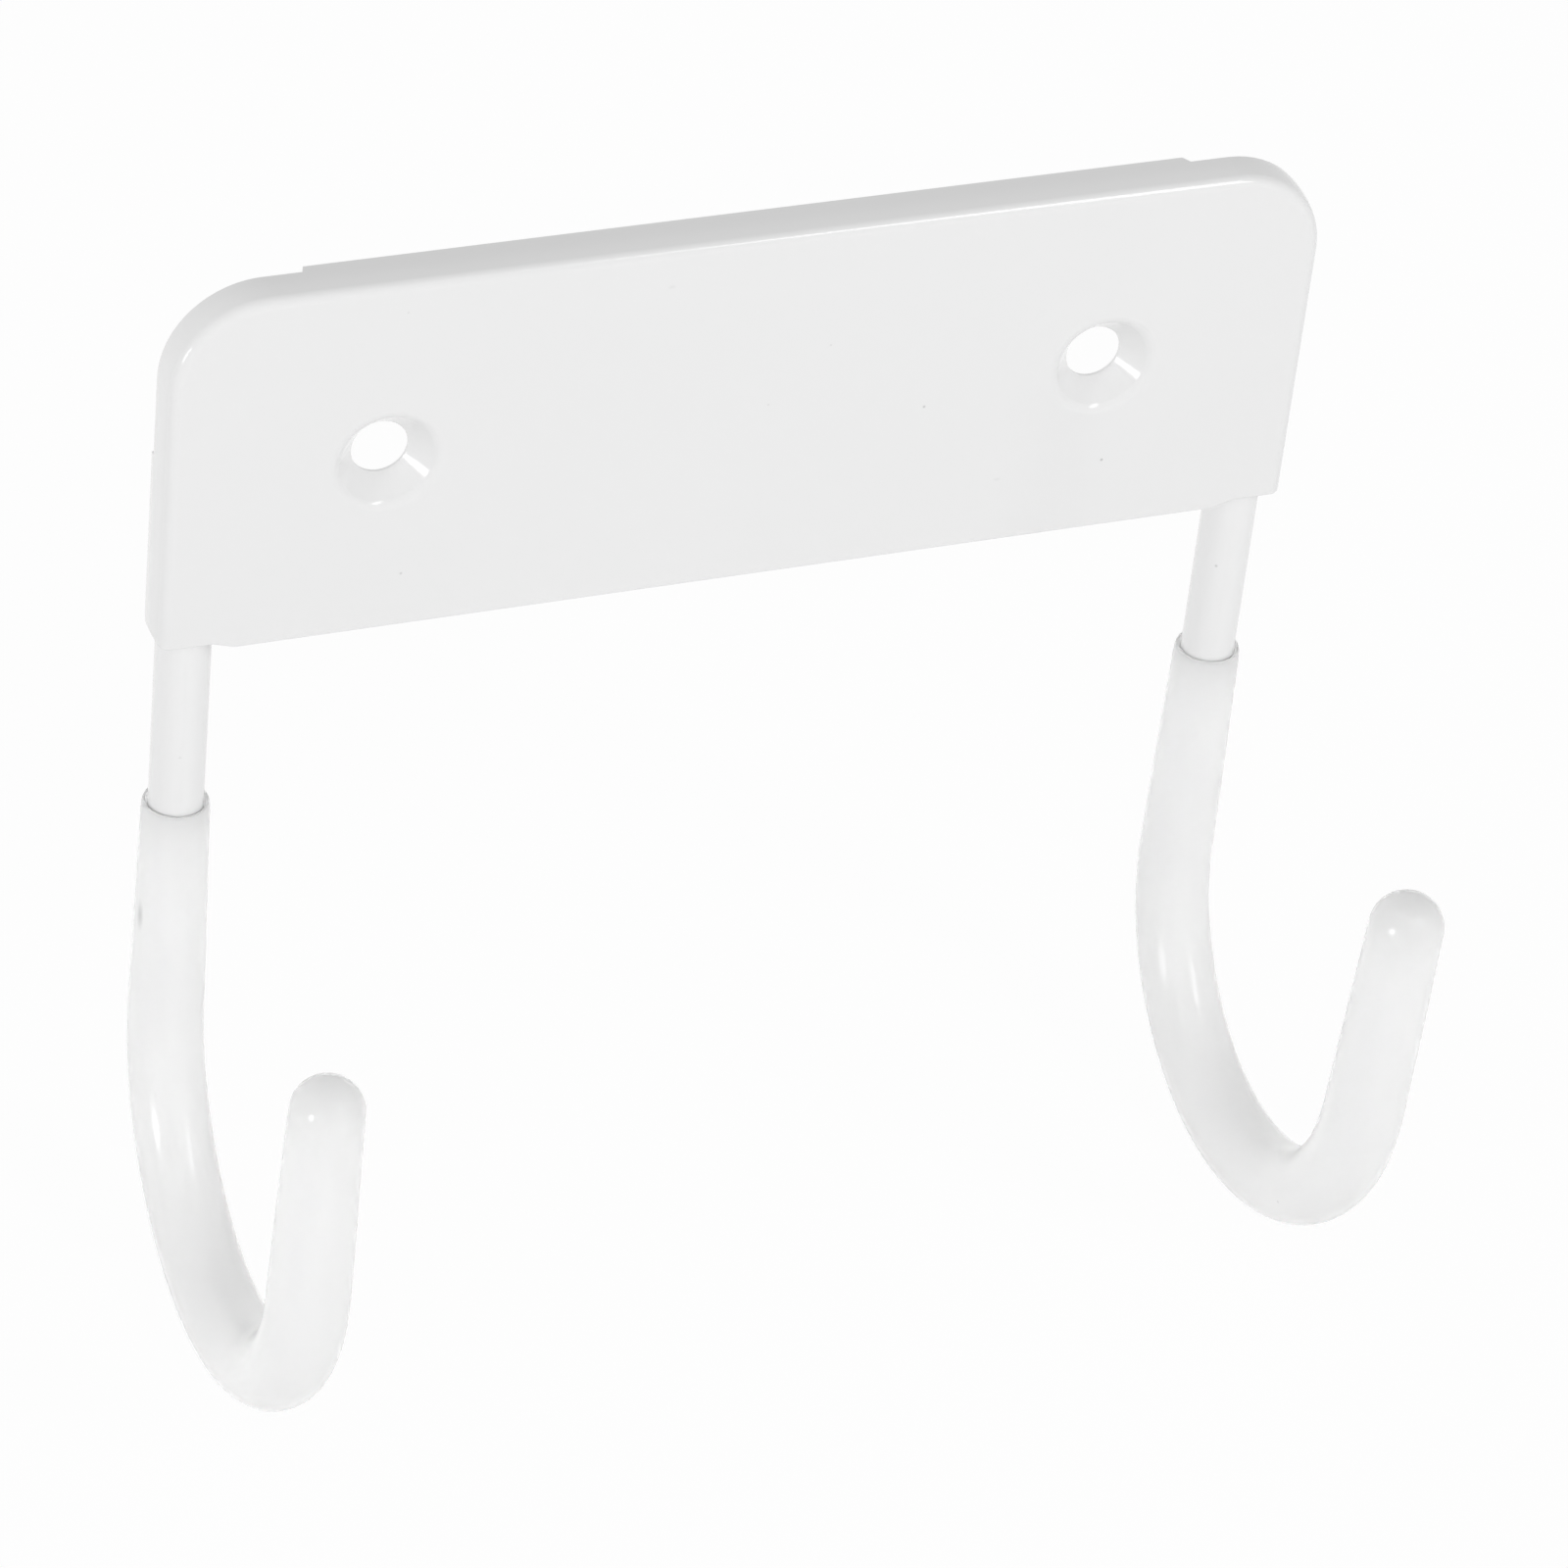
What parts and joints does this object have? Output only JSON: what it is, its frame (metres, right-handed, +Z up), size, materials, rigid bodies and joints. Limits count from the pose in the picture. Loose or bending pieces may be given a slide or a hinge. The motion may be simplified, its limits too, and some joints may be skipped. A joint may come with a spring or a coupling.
{
  "type": "ironing board hanger",
  "caption": "White steel wall plate with countersunk screw holes, carrying a pair of J-shaped wire hooks in white vinyl sleeves that hold an ironing board.",
  "frame": {"origin": "midway between the screw holes, on the plane where the backs of their dimples face the wall", "axes": "+Z up, +X to the right seen from the front, +Y into the wall"},
  "size_m": [0.1504, 0.0722, 0.1415],
  "materials": {
    "plate_paint": "white gloss paint on pressed steel sheet",
    "wire_paint": "white gloss paint on round steel wire",
    "vinyl": "white glossy dipped vinyl"
  },
  "bodies": {
    "root": {"back_plate": "plate_paint", "left_hook": "wire_paint", "right_hook": "wire_paint", "left_sleeve": "vinyl", "right_sleeve": "vinyl"}
  },
  "joints": []
}
